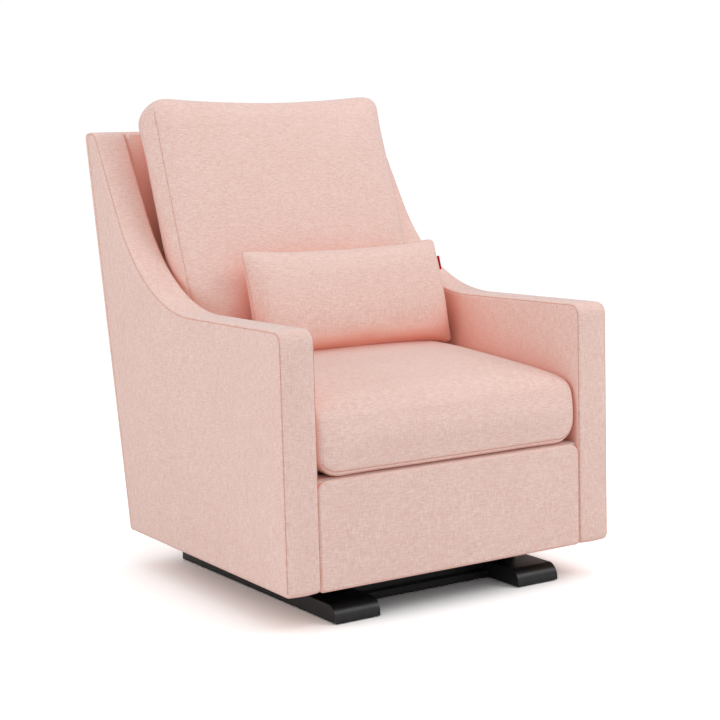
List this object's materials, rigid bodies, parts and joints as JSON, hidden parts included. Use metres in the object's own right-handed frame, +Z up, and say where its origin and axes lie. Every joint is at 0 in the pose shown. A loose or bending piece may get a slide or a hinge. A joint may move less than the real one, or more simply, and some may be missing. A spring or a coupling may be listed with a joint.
{
  "type": "glider nursery chair",
  "caption": "Upholstered nursery armchair with loose cushions and sloping wings, hung on four swing links from a low black runner base so that it glides fore and aft.",
  "frame": {"origin": "on the floor, below the middle of the chair's overall box", "axes": "+Z up; the sitter faces -Y; +X is the sitter's left"},
  "size_m": [0.75, 0.846, 0.9765],
  "materials": {
    "black_wood": "satin black lacquer on hardwood",
    "glide_felt": "matt nylon glide",
    "black_steel": "semi-matt black powder coat",
    "bright_steel": "zinc plated",
    "spring_steel": "oiled spring wire",
    "bush_nylon": "moulded nylon",
    "hardwood": "sawn hardwood",
    "plywood": "sanded plywood",
    "elastic_web": "woven elastic webbing",
    "lining": "black cambric",
    "blush_weave": "brushed slub weave, blush pink",
    "deck_felt": "needled felt",
    "red_tape": "folded satin tape, plain"
  },
  "bodies": {
    "base": {"foot_left": "black_wood", "foot_right": "black_wood", "foot_glides": "glide_felt", "cross_rail_front": "black_wood", "cross_rail_rear": "black_wood", "stretcher_front": "black_wood", "stretcher_rear": "black_wood", "upright_left": "black_wood", "upright_right": "black_wood", "foot_brackets": "black_steel", "base_screws": "bright_steel", "hanger_bolts": "bright_steel", "hanger_nuts": "bright_steel", "hanger_spacers": "bright_steel"},
    "link_front_left": {"link_front_left": "black_steel", "link_front_left_bushes": "bush_nylon"},
    "link_front_right": {"link_front_right": "black_steel", "link_front_right_bushes": "bush_nylon"},
    "link_rear_left": {"link_rear_left": "black_steel", "link_rear_left_bushes": "bush_nylon"},
    "link_rear_right": {"link_rear_right": "black_steel", "link_rear_right_bushes": "bush_nylon"},
    "seat": {"apron_pad_front": "blush_weave", "arm_boxing_left": "blush_weave", "arm_boxing_right": "blush_weave", "arm_front_post_left": "hardwood", "arm_front_post_right": "hardwood", "arm_inner_board_left": "plywood", "arm_inner_board_right": "plywood", "arm_inner_pad_left": "blush_weave", "arm_inner_pad_right": "blush_weave", "arm_outer_board_left": "plywood", "arm_outer_board_right": "plywood", "arm_outer_pad_left": "blush_weave", "arm_outer_pad_right": "blush_weave", "back_cushion": "blush_weave", "back_foot_rail": "hardwood", "back_side_left": "plywood", "back_side_right": "plywood", "back_top_rail": "hardwood", "back_webbing": "elastic_web", "carrier_rail_left": "black_steel", "carrier_rail_right": "black_steel", "carrier_screws": "bright_steel", "carrier_studs": "bright_steel", "corner_blocks": "hardwood", "dust_cover": "lining", "inside_back_pad": "blush_weave", "lumbar_pillow": "blush_weave", "outside_back": "blush_weave", "pillow_tab": "red_tape", "seat_cushion": "blush_weave", "seat_deck": "deck_felt", "seat_rail_front": "hardwood", "seat_rail_left": "hardwood", "seat_rail_rear": "hardwood", "seat_rail_right": "hardwood", "seat_springs": "spring_steel", "spring_clips": "spring_steel"}
  },
  "joints": [
    {"name": "swing_front_left", "type": "hinge", "parent": "base", "child": "link_front_left", "pos_m": [0.261, -0.241, 0.228], "axis": [1, 0, 0], "range_deg": [-24, 24]},
    {"name": "swing_front_right", "type": "hinge", "parent": "base", "child": "link_front_right", "pos_m": [-0.261, -0.241, 0.228], "axis": [1, 0, 0], "range_deg": [-24, 24]},
    {"name": "swing_rear_left", "type": "hinge", "parent": "base", "child": "link_rear_left", "pos_m": [0.261, 0.08701, 0.228], "axis": [1, 0, 0], "range_deg": [-24, 24]},
    {"name": "swing_rear_right", "type": "hinge", "parent": "base", "child": "link_rear_right", "pos_m": [-0.261, 0.08701, 0.228], "axis": [1, 0, 0], "range_deg": [-24, 24]},
    {"name": "seat_level", "type": "hinge", "parent": "link_front_left", "child": "seat", "pos_m": [0.261, -0.241, 0.098], "axis": [1, 0, 0], "range_deg": [-24, 24]}
  ],
  "couplings": [
    {"joint": "swing_front_right", "follows": "swing_front_left", "ratio": 1},
    {"joint": "swing_rear_left", "follows": "swing_front_left", "ratio": 1},
    {"joint": "swing_rear_right", "follows": "swing_front_left", "ratio": 1},
    {"joint": "seat_level", "follows": "swing_front_left", "ratio": -1}
  ]
}
